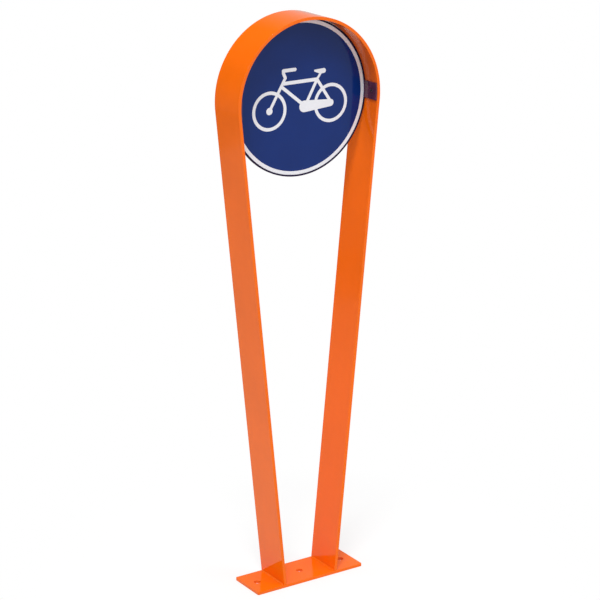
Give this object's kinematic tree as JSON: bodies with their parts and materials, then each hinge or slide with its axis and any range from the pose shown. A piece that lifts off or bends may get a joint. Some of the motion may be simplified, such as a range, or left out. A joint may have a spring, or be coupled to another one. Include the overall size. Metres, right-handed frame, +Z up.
{
  "type": "cycle parking signpost",
  "caption": "Arched flat-band post on a bolted base plate, with a round bicycle sign held inside its arch.",
  "frame": {"origin": "middle of the base plate's underside, on the ground", "axes": "+Z up; the sign faces -Y; +X to the right for someone who looks at the sign"},
  "size_m": [0.4176, 0.112, 1.5],
  "materials": {
    "orange_paint": "glossy polyester powder coat on steel",
    "blue_film": "glossy blue sign film",
    "plate_aluminium": "rolled sheet, satin",
    "black_rubber": "matt extruded edge trim",
    "dark_powder_coat": "dark glossy powder coat",
    "dark_screws": "dark coated steel",
    "stainless": "stainless steel",
    "zinc_plate": "bright zinc plate"
  },
  "bodies": {
    "root": {"arch_band": "orange_paint", "base_plate": "orange_paint", "foot_weld_left_outer": "orange_paint", "foot_weld_left_inner": "orange_paint", "foot_weld_right_outer": "orange_paint", "foot_weld_right_inner": "orange_paint", "sign_plate": "plate_aluminium", "sign_face": "blue_film", "edge_trim_upper": "black_rubber", "edge_trim_lower": "black_rubber", "sign_clip_left": "dark_powder_coat", "sign_clip_right": "dark_powder_coat", "clip_screw_left_front": "dark_screws", "clip_screw_left_rear": "dark_screws", "clip_screw_right_front": "dark_screws", "clip_screw_right_rear": "dark_screws", "sign_stud_left_upper": "stainless", "sign_stud_left_lower": "stainless", "sign_stud_right_upper": "stainless", "sign_stud_right_lower": "stainless", "sign_washer_left_upper": "zinc_plate", "sign_washer_left_lower": "zinc_plate", "sign_washer_right_upper": "zinc_plate", "sign_washer_right_lower": "zinc_plate", "sign_nut_left_upper": "zinc_plate", "sign_nut_left_lower": "zinc_plate", "sign_nut_right_upper": "zinc_plate", "sign_nut_right_lower": "zinc_plate"}
  },
  "joints": []
}
